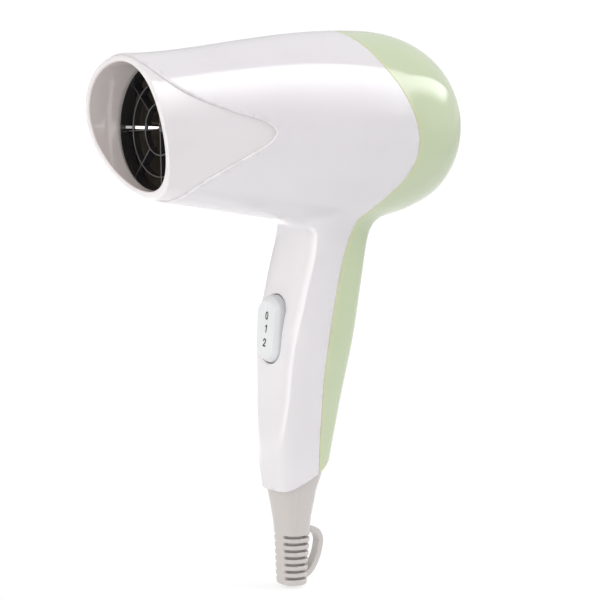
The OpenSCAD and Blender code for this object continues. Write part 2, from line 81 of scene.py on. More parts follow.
# Outlines seen from the side, as [x, z]
SEAM_LINE = [
    [91, 46], [97, 36.5], [101, 27], [107, 16], [112, 3], [113.2, -7], [110.5, -17], [104.5, -27],
    [99.6, -39], [95, -54], [91.6, -75], [90, -98], [91.4, -122], [93.6, -140], [95, -160]]
TONGUE_LINE = [
    [-2.6, 33], [-2.4, 28.6], [-1.6, 25.2], [2.8, 20.2], [12, 14], [28, 8.4], [40, 5.2], [45.4, 2.4],
    [46.2, 0], [43.5, -3.6], [30.5, -12], [21.5, -19], [17.6, -25], [16.8, -31], [17.5, -38]]
FOOT_LINE = [[66, -147.6], [78, -147.2], [86, -144.3], [93.7, -140.2], [99, -136], [108, -127]]
LOOP_LINE = [
    [92.5, -163.6], [97.5, -164.5], [101.4, -166.2], [103.3, -169.2], [103.3, -172.2], [102.3, -176.8],
    [99.6, -181.9], [95.5, -184.9], [92.5, -185.8]]
PIVOT = np.array([76.6, 0.0, -81.1])
ROCKER_L, ROCKER_W = 27.6, 13.4
CASING_SCREWS = [(-54.0, 111.0), (-112.0, 103.6)]      # z, and the x of the skin there
INLET_R = 28.0


# ---- curves and fields ----

def curve(points, n):
    """Smooth curve through points, with n steps between each two."""
    p = np.array(points, float)
    out = []
    for i in range(len(p) - 1):
        a, b, c, d = p[max(i - 1, 0)], p[i], p[i + 1], p[min(i + 2, len(p) - 1)]
        for k in range(n):
            t = k / n
            out.append((2 * b + (c - a) * t + (2 * a - 5 * b + 4 * c - d) * t * t
                        + (3 * b - a - 3 * c + d) * t ** 3) / 2)
    out.append(p[-1])
    return np.array(out)


def smoothstep(a, b, x):
    t = np.clip((x - a) / (b - a), 0, 1)
    return t * t * (3 - 2 * t)


def taper_r(x):
    t = np.clip(x / WIDEST_X, 0, 1)
    r = MOUTH_R + (BARREL_R - MOUTH_R) * (1 - (1 - t ** 1.61) ** 2.14)
    return np.where(x < 0, MOUTH_R + 0.04 * x, r)


def mouth_x(z):
    return MOUTH_SET - z * MOUTH_LEAN + MOUTH_BOW * z * z


def barrel_field(p):
    """Barrel and dome, the dome a little slimmer at its lower rear."""
    x, z = p[:, 0], p[:, 2]
    tuck = 0.05 * smoothstep(104, 122, x) * (1 - smoothstep(130, 147, x)) * (1 - smoothstep(-32, -8, z))
    r = np.hypot(p[:, 1], z * (1 + tuck))
    slope = (taper_r(x + 0.1) - taper_r(x - 0.1)) / 0.2
    front = (r - taper_r(x)) / np.sqrt(1 + slope ** 2)
    u, v = np.maximum(r, 0.01) / BARREL_R, np.maximum(x - WIDEST_X, 1e-6) / DOME_L
    s = (u ** DOME_N + v ** DOME_N) ** (1 / DOME_N)
    steep = np.hypot((u / s) ** (DOME_N - 1) / BARREL_R, (v / s) ** (DOME_N - 1) / DOME_L)
    return np.where(x < WIDEST_X, front, (s - 1) / steep)


GRIP_CURVE = curve(GRIP_ROWS, 24)


def grip_field(p):
    z = p[:, 2]
    xc, hd, hw = (np.interp(z, GRIP_CURVE[:, 0], GRIP_CURVE[:, k]) for k in (1, 2, 3))
    n = 3.0 + 0.5 * smoothstep(4, -4, p[:, 0] - xc)
    u, v = np.abs(p[:, 0] - xc) / hd + 1e-6, np.abs(p[:, 1]) / hw + 1e-6
    s = (u ** n + v ** n) ** (1 / n)
    steep = np.hypot((u / s) ** (n - 1) / hd, (v / s) ** (n - 1) / hw)
    return np.maximum((s - 1) / steep, z + 12)


def body_field(p):
    """Barrel and grip as one surface, with a tight fillet between them."""
    a, b = barrel_field(p), grip_field(p)
    k = 6 + 0.5 * smoothstep(80, 118, p[:, 0])
    h = np.maximum(k - np.abs(a - b), 0) / k
    return np.minimum(a, b) - h ** 3 * k / 6


def gradient(field, p, h=0.03):
    return np.stack([(field(p + e) - field(p - e)) / (2 * h) for e in np.eye(3) * h], 1)


def unit(v):
    return v / np.maximum(np.linalg.norm(v, axis=-1, keepdims=True), 1e-12)


def project(field, p, steps=4):
    for _ in range(steps):
        g = gradient(field, p)
        p = p - g * (field(p) / np.maximum((g * g).sum(1), 1e-9))[:, None]
    return p


def outline_field(line, closing, a=0, b=2, n=10):
    """Signed distance to a smooth outline seen from the side: less than 0 inside it."""
    c = curve(line, n)
    poly = np.vstack([c, np.array(closing, float)])

    def field(p):
        q = p[:, [a, b]]
        near = np.full(len(q), 1e9)
        for s, e in zip(c[:-1], c[1:]):
            d = e - s
            t = np.clip(((q - s) @ d) / (d @ d), 0, 1)
            near = np.minimum(near, ((q - s - t[:, None] * d) ** 2).sum(1))
        inside = np.zeros(len(q), bool)
        for s, e in zip(poly, np.roll(poly, -1, 0)):
            if s[1] != e[1]:
                inside ^= ((s[1] > q[:, 1]) != (e[1] > q[:, 1])) & (
                    q[:, 0] < (e[0] - s[0]) * (q[:, 1] - s[1]) / (e[1] - s[1]) + s[0])
        return np.where(inside, -1, 1) * np.sqrt(near)
    return field


seam = outline_field(SEAM_LINE, [[-200, -160], [-200, 46]])
tongue = outline_field(TONGUE_LINE, [[-40, -38], [-40, 33]])
foot = outline_field(FOOT_LINE, [[108, -200], [66, -200]])


def stadium_field(length, width):
    def field(p):
        reach = np.maximum(np.abs(p[:, 2] - PIVOT[2]) - (length - width) / 2, 0)
        return np.where(p[:, 0] < 88, np.hypot(p[:, 1], reach) - width / 2, 50)
    return field


def round_field(r, x_from, z):
    return lambda p: np.where(p[:, 0] > x_from, np.hypot(p[:, 1], p[:, 2] - z) - r, 50)


def minus(field):
    return lambda p: -field(p)


# ---- surfaces ----

def surface_net(field, low, high, h):
    """Triangles of field = 0, one point in each cell that the surface crosses."""
    axes = [np.arange(a, b + h, h) for a, b in zip(low, high)]
    n = [len(a) for a in axes]
    grid = np.stack(np.meshgrid(*axes, indexing="ij"), -1)
    f = field(grid.reshape(-1, 3)).reshape(n)
    total = np.zeros([k - 1 for k in n] + [3])
    count = np.zeros([k - 1 for k in n])
    crossings = []
    for ax in range(3):
        s0, s1 = [slice(None)] * 3, [slice(None)] * 3
        s0[ax], s1[ax] = slice(0, -1), slice(1, None)
        f0, f1 = f[tuple(s0)], f[tuple(s1)]
        cross = (f0 < 0) != (f1 < 0)
        t = np.where(cross, f0 / np.where(cross, f0 - f1, 1), 0)
        pos = grid[tuple(s0)] + t[..., None] * h * np.eye(3)[ax]
        others = [k for k in range(3) if k != ax]
        for da in (0, 1):
            for db in (0, 1):
                s = [slice(None)] * 3
                s[others[0]] = slice(da, n[others[0]] - 1 + da)
                s[others[1]] = slice(db, n[others[1]] - 1 + db)
                m = cross[tuple(s)]
                total += pos[tuple(s)] * m[..., None]
                count += m
        crossings.append((ax, others, cross, f0))
    index = np.full(count.shape, -1)
    active = count > 0
    index[active] = np.arange(active.sum())
    verts = total[active] / count[active][:, None]
    quads = []
    for ax, others, cross, f0 in crossings:
        at = np.argwhere(cross)
        a, b = others
        at = at[(at[:, a] > 0) & (at[:, a] < n[a] - 1) & (at[:, b] > 0) & (at[:, b] < n[b] - 1)]
        ids = []
        for da, db in ((1, 1), (0, 1), (0, 0), (1, 0)):
            c = at.copy()
            c[:, a] -= da
            c[:, b] -= db
            ids.append(index[c[:, 0], c[:, 1], c[:, 2]])
        q = np.stack(ids, 1)
        flip = (f0[at[:, 0], at[:, 1], at[:, 2]] < 0) == (ax == 1)
        q[flip] = q[flip][:, ::-1]
        quads.append(q)
    q = np.vstack(quads)
    return verts, np.vstack([q[:, [0, 1, 2]], q[:, [0, 2, 3]]])


def tidy(v, t):
    """Leaves out the points that no triangle uses."""
    used = np.unique(t)
    new = np.full(len(v), -1)
    new[used] = np.arange(len(used))
    return v[used], new[t]


def clip(v, t, field, level, surface=None):
    """Keeps the side where the cutting field is below the level, cut cleanly along it."""
    g = field(v) - level
    g = np.where(np.abs(g) < 1e-4, -1e-4, g)
    keep = g < 0
    k = keep[t].sum(1)
    whole = t[k == 3]
    parts, cut = [], {}
    points = []

    def crossing(i, j):
        key = (i, j) if i < j else (j, i)
        if key not in cut:
            cut[key] = len(v) + len(points)
            w = g[i] / (g[i] - g[j])
            points.append(v[i] * (1 - w) + v[j] * w)
        return cut[key]

    for tri in t[(k == 1) | (k == 2)]:
        tri = list(tri)
        while not (keep[tri[0]] and not keep[tri[2]]):
            tri = tri[1:] + tri[:1]
        a, b, c = tri
        if keep[b]:
            bc, ca = crossing(b, c), crossing(c, a)
            parts += [[a, b, bc], [a, bc, ca]]
        else:
            ab, ca = crossing(a, b), crossing(c, a)
            parts.append([a, ab, ca])
    if points:
        fresh = np.array(points)
        for _ in range(3):
            if surface is not None:
                fresh = project(surface, fresh, 1)
                n = unit(gradient(surface, fresh))
            else:
                n = np.zeros_like(fresh)
            d = gradient(field, fresh)
            d = d - n * (d * n).sum(1)[:, None]
            size = np.maximum((d * d).sum(1), 0.05)
            move = -d * ((field(fresh) - level) / size)[:, None]
            length = np.linalg.norm(move, axis=1, keepdims=True)
            fresh = fresh + move * np.minimum(1, 0.6 / np.maximum(length, 1e-9))
        if surface is not None:
            fresh = project(surface, fresh, 2)
        v = np.vstack([v, fresh])
    return tidy(v, np.vstack([whole, np.array(parts, int).reshape(-1, 3)]))


def rim_of(t):
    """The edges that belong to one triangle, their points, and the edges as numbers in those points."""
    e = np.vstack([t[:, [0, 1]], t[:, [1, 2]], t[:, [2, 0]]])
    _, inverse, count = np.unique(np.sort(e, 1), axis=0, return_inverse=True, return_counts=True)
    edges = e[count[inverse.ravel()] == 1]
    at, local = np.unique(edges, return_inverse=True)
    return edges, at, local.reshape(edges.shape)


class Build:
    """Points and faces of a piece as it grows. Normals that are known are kept with the points."""

    def __init__(self):
        self.v, self.f, self.n, self.rim = [], [], [], []

    def add(self, v, f, n=None, rim=None):
        base = sum(len(a) for a in self.v)
        v = np.asarray(v, float)
        self.v.append(v)
        self.n.append(np.full_like(v, np.nan) if n is None else n)
        self.rim.append(np.zeros(len(v)) if rim is None else rim)
        self.f.extend(np.asarray(a) + base for a in f)
        return base

    def band(self, edges, a, b):
        """Quads along edges from one row of points to the next. The rows are arrays of point numbers."""
        i, j = edges[:, 0], edges[:, 1]
        self.f.extend(np.stack([a[i], b[i], b[j], a[j]], 1))

    def row(self, edges, last, v, n=None, rim=None):
        """Adds a row of points and the band from the last row to it. Gives the row's point numbers."""
        ids = self.add(v, [], n, rim) + np.arange(len(v))
        self.band(edges, last, ids)
        return ids

    def mesh(self):
        return np.vstack(self.v), self.f


def auto_normals(v, f3):
    n = np.zeros_like(v)
    a, b, c = v[f3[:, 0]], v[f3[:, 1]], v[f3[:, 2]]
    face = np.cross(b - a, c - a)
    for k in range(3):
        np.add.at(n, f3[:, k], face)
    return unit(n)


def make(name, v, faces, body, slot, material, normals=None, rim=None, replaces=(), sharp=None):
    """An object from points in mm. Known normals are set, and the rest are averaged."""
    faces = [list(map(int, f)) for f in faces]
    mesh = bpy.data.meshes.new(name)
    mesh.from_pydata((np.asarray(v) * MM).tolist(), [], faces)
    if normals is None:
        work = bmesh.new()
        work.from_mesh(mesh)
        bmesh.ops.recalc_face_normals(work, faces=work.faces)
        work.to_mesh(mesh)
        work.free()
    mesh.update()
    mesh.shade_smooth()
    if rim is not None:
        a = mesh.attributes.new("rim", "FLOAT", "POINT")
        a.data.foreach_set("value", np.asarray(rim, np.float32))
    if normals is not None:
        tri = np.array([[f[0], f[k], f[k + 1]] for f in faces for k in range(1, len(f) - 1)])
        n = auto_normals(np.asarray(v, float), tri)
        known = ~np.isnan(normals[:, 0])
        n[known] = normals[known]
        mesh.normals_split_custom_set_from_vertices(n.tolist())
    elif sharp is not None:
        mesh.set_sharp_from_angle(angle=math.radians(sharp))
    mesh.materials.append(material)
    obj = bpy.data.objects.new(name, mesh)
    bpy.context.scene.collection.objects.link(obj)
    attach(obj, body)
    if replaces:
        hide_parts(*replaces)
    return obj


EDGE_REACH = 2.5           # how far in from an edge its wear and dust reach, and the painted light and shade along edges


def shell(v, t, cuts, surface, wall, seats=None):
    """A moulded wall from its outer surface: rounded lips along each cut, side walls and an inner face.

    cuts are (field, level), the level being minus the radius of that edge's rounding. seats maps the
    number of a cut to the x that its wall goes in to, with a floor there, as for a screw's recess.
    """
    seats = seats or {}
    n = unit(gradient(surface, v))
    edges, at, local = rim_of(t)
    mid = (v[edges[:, 0]] + v[edges[:, 1]]) / 2
    label = np.stack([np.abs(f(mid) - lv) for f, lv in cuts], 1).argmin(1)
    hits = np.zeros((len(at), len(cuts)), bool)
    hits[local[:, 0], label] = True
    hits[local[:, 1], label] = True
    pv, pn = v[at], n[at]
    out = np.zeros((len(at), 3))
    lip = np.full(len(at), 9.0)
    for k, (f, lv) in enumerate(cuts):
        m = hits[:, k]
        if not m.any():
            continue
        g = gradient(f, pv[m], 0.05)
        g = unit(g - pn[m] * (g * pn[m]).sum(1)[:, None])
        old = out[m]
        both = np.linalg.norm(old, axis=1, keepdims=True) > 0.5
        out[m] = np.where(both, (old + g) / np.maximum(1 + (old * g).sum(1, keepdims=True), 0.4), g)
        lip[m] = np.minimum(lip[m], -lv)
    lip = lip[:, None]
    b = Build()
    near = np.min([np.abs(f(v) - lv) for f, lv in cuts], 0)
    b.add(v, t, n, np.clip(1 - near / EDGE_REACH, 0, 1) ** 2)
    last, full = at, np.ones(len(at))
    for a in np.radians([18, 36, 54, 72, 90]):
        rows = pv + out * lip * math.sin(a) - pn * lip * (1 - math.cos(a))
        last = b.row(local, last, rows, unit(pn * math.cos(a) + out * math.sin(a)), full)
    end = pv + out * lip - pn * wall
    for k, x in seats.items():
        m = hits[:, k]
        end[m] = rows[m]
        end[m, 0] = x
    last = b.row(local, last, end, unit(out), full)
    for k in seats:
        m = np.flatnonzero(label == k)
        if len(m):
            ring = end[hits[:, k]]
            floor = b.add(np.vstack([end, ring.mean(0)]), [], np.tile([1.0, 0, 0], (len(end) + 1, 1)))
            b.f.extend([floor + local[i][0], floor + len(end), floor + local[i][1]] for i in m)
    inner = b.add(v - n * wall, t[:, ::-1], -n)
    b.band(local, last, inner + at)
    return *b.mesh(), np.vstack(b.n), np.concatenate(b.rim)


def wrap(rows, n, closed=False):
    """Quads round a skin made of rows of n points."""
    steps = [(i * n, (i + 1) % rows * n) for i in range(rows if closed else rows - 1)]
    return [[i + k, i + (k + 1) % n, j + (k + 1) % n, j + k] for i, j in steps for k in range(n)]


def turned(profile, n=96, axis=(0, 0, 0), closed=False):
    """A lathe shape from an outline of [x, r], turned round the line along X through the point axis."""
    p = np.array(profile, float)
    a = np.arange(n) * 2 * math.pi / n
    v = np.stack([np.repeat(p[:, 0], n), np.outer(p[:, 1], np.sin(a)).ravel(),
                  np.outer(p[:, 1], np.cos(a)).ravel()], 1) + np.array(axis)
    return v, wrap(len(p), n, closed)


def ring_loft(rings):
    """Skin over rings with the same number of points, each ring an array, and a face on each end."""
    n = len(rings[0])
    f = wrap(len(rings), n)
    f.append(list(range(n))[::-1])
    f.append([(len(rings) - 1) * n + k for k in range(n)])
    return np.vstack(rings), f


# ---- materials ----

class Graph:
    """Shader nodes of a material or world. Each call gives the socket that its result comes from."""

    def __init__(self, owner):
        owner.use_nodes = True
        self.nodes, self.links = owner.node_tree.nodes, owner.node_tree.links
        self.nodes.clear()

    def new(self, kind):
        return self.nodes.new("ShaderNode" + kind)

    def feed(self, socket, value):
        """Links another node's socket to this one, or sets it to a plain value."""
        if isinstance(value, bpy.types.NodeSocket):
            self.links.new(value, socket)
        else:
            socket.default_value = value

    def math(self, op, a, b):
        n = self.new("Math")
        n.operation = op
        self.feed(n.inputs[0], a)
        self.feed(n.inputs[1], b)
        return n.outputs[0]

    def both(self, first, *others):
        """The product of masks."""
        for mask in others:
            first = self.math("MULTIPLY", first, mask)
        return first

    def vector(self, op, a, b=None):
        n = self.new("VectorMath")
        n.operation = op
        self.feed(n.inputs[0], a)
        if b is not None:
            self.feed(n.inputs[1], b)
        return n.outputs["Value" if op in ("LENGTH", "DOT_PRODUCT") else "Vector"]

    def remap(self, value, a, b, lo=0, hi=1, kind="LINEAR"):
        n = self.new("MapRange")
        n.interpolation_type = kind
        for key, x in zip(("Value", "From Min", "From Max", "To Min", "To Max"), (value, a, b, lo, hi)):
            self.feed(n.inputs[key], x)
        return n.outputs[0]

    def ramp(self, value, a, b, lo=0, hi=1):
        """A smooth step from lo to hi as the value goes from a to b, where a may be the larger."""
        return self.remap(value, a, b, lo, hi, "SMOOTHSTEP")

    def mix(self, mask, under, colour):
        """The colour laid over another where the mask is 1."""
        n = self.new("Mix")
        n.data_type = "RGBA"
        for key, x in zip(("Factor", "A", "B"), (mask, under, (*colour, 1))):
            self.feed(n.inputs[key], x)
        return n.outputs["Result"]


class Finish(Graph):
    """A procedural finish on one Principled shader, grown from object coordinates in metres."""

    def __init__(self, name, colour, rough, metal=0.0, coat=0.0, ior=1.5, glow=0.0):
        self.mat = bpy.data.materials.new(name)
        super().__init__(self.mat)
        self.bsdf = self.new("BsdfPrincipled")
        self.feed(self.new("OutputMaterial").inputs[0], self.bsdf.outputs[0])
        for key, x in (("Metallic", metal), ("Coat Weight", coat), ("Coat Roughness", 0.05), ("IOR", ior),
                       ("Emission Color", (1, 1, 1, 1)), ("Emission Strength", glow)):
            self.bsdf.inputs[key].default_value = x
        self.place = self.new("TexCoord").outputs["Object"]
        self.colour = self.mat.diffuse_color = (*colour, 1)
        self.rough, self.height = rough, 0.0

    def texture(self, kind, stretch, **inputs):
        m = self.new("Mapping")
        self.feed(m.inputs["Vector"], self.place)
        self.feed(m.inputs["Scale"], stretch)
        n = self.new(kind)
        self.feed(n.inputs["Vector"], m.outputs[0])
        for key, x in inputs.items():
            n.inputs[key].default_value = x
        return n.outputs

    def noise(self, scale, detail=2.0, stretch=(1, 1, 1), distortion=0.0):
        inputs = {"Scale": scale, "Detail": detail, "Distortion": distortion}
        return self.texture("TexNoise", stretch, **inputs)["Fac"]

    def cells(self, scale, stretch=(1, 1, 1)):
        return self.texture("TexVoronoi", stretch, Scale=scale)["Distance"]

    def radius(self):
        """Distance from the barrel's axis, in metres."""
        return self.vector("LENGTH", self.vector("MULTIPLY", self.place, (0, 1, 1)))

    def attribute(self, name):
        n = self.new("Attribute")
        n.attribute_name = name
        return n.outputs["Fac"]

    def tint(self, mask, colour):
        """Mixes the colour in where the mask is 1."""
        self.colour = self.mix(mask, self.colour, colour)

    def vary_rough(self, mask, amount):
        self.rough = self.math("ADD", self.math("MULTIPLY", mask, amount), self.rough)

    def bump(self, mask, height):
        self.height = self.math("ADD", self.math("MULTIPLY", mask, height), self.height)

    def done(self):
        bump = self.new("Bump")
        bump.inputs["Strength"].default_value = 1.0
        bump.inputs["Distance"].default_value = MM
        self.feed(bump.inputs["Height"], self.height)
        self.feed(self.bsdf.inputs["Base Color"], self.colour)
        self.feed(self.bsdf.inputs["Roughness"], self.rough)
        self.feed(self.bsdf.inputs["Normal"], bump.outputs[0])
        return self.mat


def moulded(name, colour, rough, dark, wear=0.35, peel=0.006, grain=0.0, coat=0.0, subsurface=0.0,
            painted_edge_light_and_shade=None, painted_bore_shade=None, ior=1.5):
    """Moulded plastic: faint mottling, handling haze, orange peel, and wear and dust along edges, with
    painted light and shade along the rim mask and painted shade in the bore where those tints are given.
    """
    f = Finish(name, colour, rough, coat=coat, ior=ior)
    edge = f.attribute("rim")
    # Painted light and shade along the rim mask: a lighter strip on the green casing's edges, shade in the
    # rocker's gap and in the boot's slots
    if painted_edge_light_and_shade:
        f.tint(f.ramp(edge, 0.05, 0.5, 0, 0.6), painted_edge_light_and_shade)
    # Painted shade inside the nozzle's bore, within about 25 mm of the axis
    if painted_bore_shade:
        f.tint(f.ramp(f.radius(), 0.0250, 0.0256, 1, 0), painted_bore_shade)
    f.tint(f.ramp(f.noise(28, 3), 0.35, 0.75, 0, 0.10), dark)
    f.tint(f.ramp(f.noise(900, 2), 0.62, 0.78, 0, 0.06), dark)
    scuffs = f.both(edge, f.ramp(f.noise(260, 4, distortion=0.6), 0.45, 0.68))
    f.tint(f.math("MULTIPLY", scuffs, wear), dark)
    f.vary_rough(f.ramp(f.noise(45, 5, (1, 1, 0.4)), 0.42, 0.72), 0.07)
    f.vary_rough(scuffs, 0.12)
    f.bump(f.noise(520, 2), peel)
    if grain:
        f.bump(f.cells(2600), grain)
    f.bump(f.noise(70, 1), peel * 1.5)
    if subsurface:
        f.bsdf.inputs["Subsurface Weight"].default_value = subsurface
        f.bsdf.inputs["Subsurface Radius"].default_value = (1.0, 0.7, 0.5)
        f.bsdf.inputs["Subsurface Scale"].default_value = 0.002
    return f.done()


def metal(name, colour, rough, dark, brush=(1, 1, 1), scale=600, coat=0.0):
    """Metal with drawing marks, dull patches and a little tarnish."""
    f = Finish(name, colour, rough, metal=1.0, coat=coat)
    marks = f.noise(scale, 3, brush)
    f.tint(f.ramp(f.noise(90, 4), 0.48, 0.75, 0, 0.55), dark)
    f.vary_rough(f.remap(marks, 0.35, 0.7), 0.18)
    f.bump(marks, 0.02)
    return f.done()


def sheet_mica(name, colour, dark, glow=0.0):
    """Mica board: layered flakes that catch light, with darker heat stains. With glow it gives off its own
    light, as painted light.
    """
    f = Finish(name, colour, 0.42, glow=glow)
    f.tint(f.remap(f.cells(420, (1, 1, 0.3)), 0.1, 0.8, 0, 0.45), dark)
    f.tint(f.ramp(f.noise(60, 4), 0.5, 0.72, 0, 0.4), (0.32, 0.22, 0.12))
    f.vary_rough(f.remap(f.noise(800, 2), 0.4, 0.6), 0.2)
    f.bump(f.cells(700), 0.05)
    return f.done()


WHITE = moulded("white_shell", (0.695, 0.68, 0.70), 0.07, (0.48, 0.46, 0.47), subsurface=0.05, ior=1.8)
# The collar's bore colour is painted shade inside the nozzle
WHITE_RING = moulded("white_collar", (0.705, 0.685, 0.695), 0.08, (0.50, 0.47, 0.47), subsurface=0.05,
                     painted_bore_shade=(0.63, 0.58, 0.565), ior=1.75)
# Green casing: its edge colour is a painted highlight, a lighter, yellower strip along the seam and its other
# edges
GREEN = moulded("green_shell", (0.51, 0.59, 0.39), 0.08, (0.32, 0.38, 0.24), wear=0.15, subsurface=0.05,
                painted_edge_light_and_shade=(0.57, 0.59, 0.36), ior=1.8)
GREEN_GRILLE = moulded("green_grille", (0.46, 0.54, 0.36), 0.2, (0.27, 0.31, 0.2), wear=0.6, coat=0.5)
# Rocker cap: its edge colour is painted shade on its sides, in the gap round it
CAP = moulded("rocker_plastic", (0.675, 0.69, 0.70), 0.24, (0.42, 0.42, 0.44), peel=0.004, coat=0.15,
              painted_edge_light_and_shade=(0.47, 0.475, 0.49))
# Boot: its edge colour is painted shade in its slots
BOOT = moulded("grey_boot", (0.52, 0.49, 0.47), 0.27, (0.36, 0.33, 0.31), wear=0.3, peel=0.02, grain=0.01,
               coat=0.4, painted_edge_light_and_shade=(0.41, 0.38, 0.365))
BLACK = moulded("black_plastic", (0.016, 0.015, 0.016), 0.22, (0.09, 0.085, 0.085), wear=0.5, peel=0.02,
                coat=1.0)
DARK = moulded("dark_plastic", (0.03, 0.03, 0.033), 0.4, (0.10, 0.10, 0.10), peel=0.02, grain=0.02)
CREAM = moulded("cream_plastic", (0.74, 0.70, 0.58), 0.38, (0.45, 0.40, 0.30), peel=0.02)
BLUE = moulded("blue_plastic", (0.05, 0.16, 0.42), 0.3, (0.02, 0.06, 0.2))
SLEEVE = moulded("wire_sleeve", (0.36, 0.035, 0.03), 0.42, (0.14, 0.02, 0.02), peel=0.03)
INK = moulded("digit_ink", (0.02, 0.02, 0.022), 0.45, (0.2, 0.2, 0.2), wear=0.3, peel=0.01)
STEEL = metal("steel", (0.62, 0.62, 0.63), 0.24, (0.30, 0.28, 0.26))
CAN = metal("motor_can_steel", (0.58, 0.59, 0.60), 0.28, (0.34, 0.33, 0.30), (0.05, 1, 1), 900)
BRASS = metal("brass", (0.72, 0.50, 0.22), 0.28, (0.34, 0.22, 0.10))
WIRE = metal("nichrome", (0.44, 0.40, 0.36), 0.36, (0.13, 0.10, 0.12))
WINDING = metal("winding", (0.62, 0.24, 0.10), 0.3, (0.28, 0.09, 0.04), scale=1500, coat=0.5)
MAGNET = metal("magnet", (0.10, 0.10, 0.11), 0.6, (0.05, 0.05, 0.05), scale=1800)
CARBON = moulded("carbon", (0.02, 0.02, 0.02), 0.55, (0.06, 0.06, 0.06), peel=0.05, grain=0.05)
# Mica made dark brown: painted shade for the dark inside of the duct, with its heat stains
MICA_PAINTED_SHADE = sheet_mica("mica", (0.10, 0.085, 0.07), (0.05, 0.04, 0.03))
BOARD = moulded("circuit_board", (0.30, 0.20, 0.07), 0.45, (0.12, 0.08, 0.03), peel=0.03)
CERAMIC = moulded("ceramic", (0.70, 0.66, 0.58), 0.5, (0.4, 0.36, 0.3), peel=0.04, grain=0.02)
# Glowing strips: painted light behind the grille, one bright and one dim
PAINTED_LIGHT_STRIP = sheet_mica("painted_light_strip", (0.9, 0.9, 0.9), (0.8, 0.79, 0.78), 0.75)
PAINTED_DIM_LIGHT_STRIP = sheet_mica("painted_dim_light_strip", (0.45, 0.45, 0.45), (0.4, 0.4, 0.4), 0.12)
MESH = metal("screen_wire", (0.40, 0.40, 0.41), 0.3, (0.16, 0.15, 0.15))

NODE_FINISH = [
    (MICA_PAINTED_SHADE, "mica_liner", "heater_board_upright", "heater_board_level"),
    (STEEL, "thermostat", "motor_shaft", "motor_screws", "switch_screws", "clamp_screws", "casing_screws"),
    (BRASS, "coil_rivets", "motor_bushes", "motor_commutator", "switch_terminals"),
    (CREAM, "fan_housing", "fan_impeller", "switch_slider", "cord_clamp"),
    (DARK, "motor_end_cap", "rectifier_diodes", "switch_body"),
    (CERAMIC, "thermal_fuse"), (CAN, "motor_can"), (MAGNET, "motor_magnets"), (CARBON, "motor_brushes"),
    (WINDING, "motor_armature"), (BOARD, "rectifier_board"), (BLUE, "suppressor_capacitor"),
    (SLEEVE, "inner_wires"),
]
for finish, *node_names in NODE_FINISH:
    for node_name in node_names:
        mesh = nodes[node_name].data
        mesh.materials.clear()
        mesh.materials.append(finish)


# ---- casings ----

LIP = 0.35                 # rounding of a casing's edges
LIP_STEP = 0.75            # rounding of the casing where it steps down to the collar
LIP_MOUTH = 0.6            # rounding of the mouth outside
LIP_BORE = 0.8             # rounding of the mouth inside
LIP_SCREW = 0.3            # rounding of a screw's recess
LIP_FRONT = 0.9            # rounding of the casing's front end
SCREW_R, SCREW_DEPTH = 3.5, 6.0
COLLAR_LEDGE_R, COLLAR_END_X = 25.3, 17.4
switch_hole = minus(stadium_field(ROCKER_L + 0.6, ROCKER_W + 0.4))
recesses = [round_field(SCREW_R, 96, z) for z, _ in CASING_SCREWS]
inlet = round_field(INLET_R, 130, 0)


def before_mouth(p):
    """More than 0 in front of the mouth's rim. The grip lies outside this cut."""
    return np.where(p[:, 2] > -45, mouth_x(p[:, 2]) - p[:, 0], -50)


skin_v, skin_t = surface_net(body_field, (-13, -41, -153), (157, 41, 41), 1.25)
skin_v = project(body_field, skin_v)


def cut_skin(cuts):
    v, t = skin_v, skin_t
    for field, level in cuts:
        v, t = clip(v, t, field, level, body_field)
    return v, t


front_cuts = [(seam, -LIP), (minus(tongue), -LIP_STEP), (minus(foot), -LIP), (before_mouth, -LIP_FRONT),
              (switch_hole, -LIP)]
v, f, n, rim = shell(*cut_skin(front_cuts), front_cuts, body_field, WALL)
make("front_shell", v, f, "dryer", "white_shell", WHITE, n, rim, ["front_casing"])

rear_cuts = [(minus(seam), -LIP), (minus(foot), -LIP), (minus(inlet), -LIP)]
seats = {len(rear_cuts) + k: back - SCREW_DEPTH for k, (_, back) in enumerate(CASING_SCREWS)}
rear_cuts += [(minus(r), -LIP_SCREW) for r in recesses]
v, f, n, rim = shell(*cut_skin(rear_cuts), rear_cuts, body_field, WALL, seats)
make("rear_shell", v, f, "dryer", "green_shell", GREEN, n, rim, ["rear_casing"])

# Nozzle collar: the sunk tongue, the rounded mouth and the bore down to the black grille
v, t = cut_skin([(tongue, 0.0), (before_mouth, -LIP_MOUTH)])
n = unit(gradient(body_field, v))
edges, at, local = rim_of(t)
middle = (v[edges[:, 0]] + v[edges[:, 1]]) / 2
at_mouth = np.abs(before_mouth(middle) + LIP_MOUTH) < np.abs(tongue(middle))
mouth_edges = local[at_mouth]
v = v - n * COLLAR_STEP
b = Build()
b.add(v, t, n, np.clip(1 + (tongue(v) - 1.2) / 3, 0, 1) ** 2)
b.row(local[~at_mouth], at, v[at] - n[at] * COLLAR_LAP, n[at])
rim_r = np.hypot(v[at, 1], v[at, 2])
side = v[at][:, 1:] / rim_r[:, None]
bore = BORE_R + BORE_DRAFT
quarter = np.radians(np.linspace(0, 90, 6))
lip = [(rim_r - LIP_MOUTH * (1 - math.cos(q)), LIP_MOUTH * (1 - math.sin(q))) for q in quarter[1:]]
lip += [(lip[-1][0] * (1 - s) + (bore + LIP_BORE) * s, -0.3 * s * (1 - s)) for s in (0.25, 0.5, 0.75)]
lip += [(bore + LIP_BORE * (1 - math.sin(q)) + 0 * rim_r, LIP_BORE * (1 - math.cos(q))) for q in quarter]
last, half_rim = at, np.full(len(at), 0.5)
for r, depth in lip:
    x = mouth_x(side[:, 1] * r) + depth
    last = b.row(mouth_edges, last, np.column_stack([x, side * r[:, None]]), rim=half_rim)
